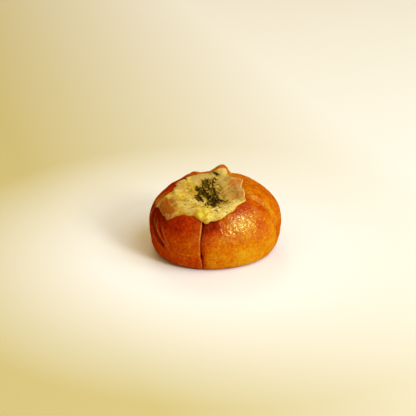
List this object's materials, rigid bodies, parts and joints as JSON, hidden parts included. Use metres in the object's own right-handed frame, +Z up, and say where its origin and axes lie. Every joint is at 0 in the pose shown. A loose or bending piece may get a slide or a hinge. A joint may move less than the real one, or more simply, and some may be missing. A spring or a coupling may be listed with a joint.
{
  "type": "garlic cheese bun",
  "caption": "Round soft bread bun scored into wedges, its dished crown filled with melted cheese and a pinch of dried green herb.",
  "frame": {"origin": "middle of the bun's footprint, on the surface it stands on", "axes": "+Z up; front of the bun, with its open slit, towards -Y; +X to the right seen from the front"},
  "size_m": [0.1078, 0.105, 0.0623],
  "materials": {
    "crust": "egg-washed brown crust, glossy",
    "cheese": "melted cheese, soft shine",
    "herbs": "dried green herb, dull"
  },
  "bodies": {
    "root": {"bun": "crust", "cheese": "cheese", "herbs": "herbs"}
  },
  "joints": []
}
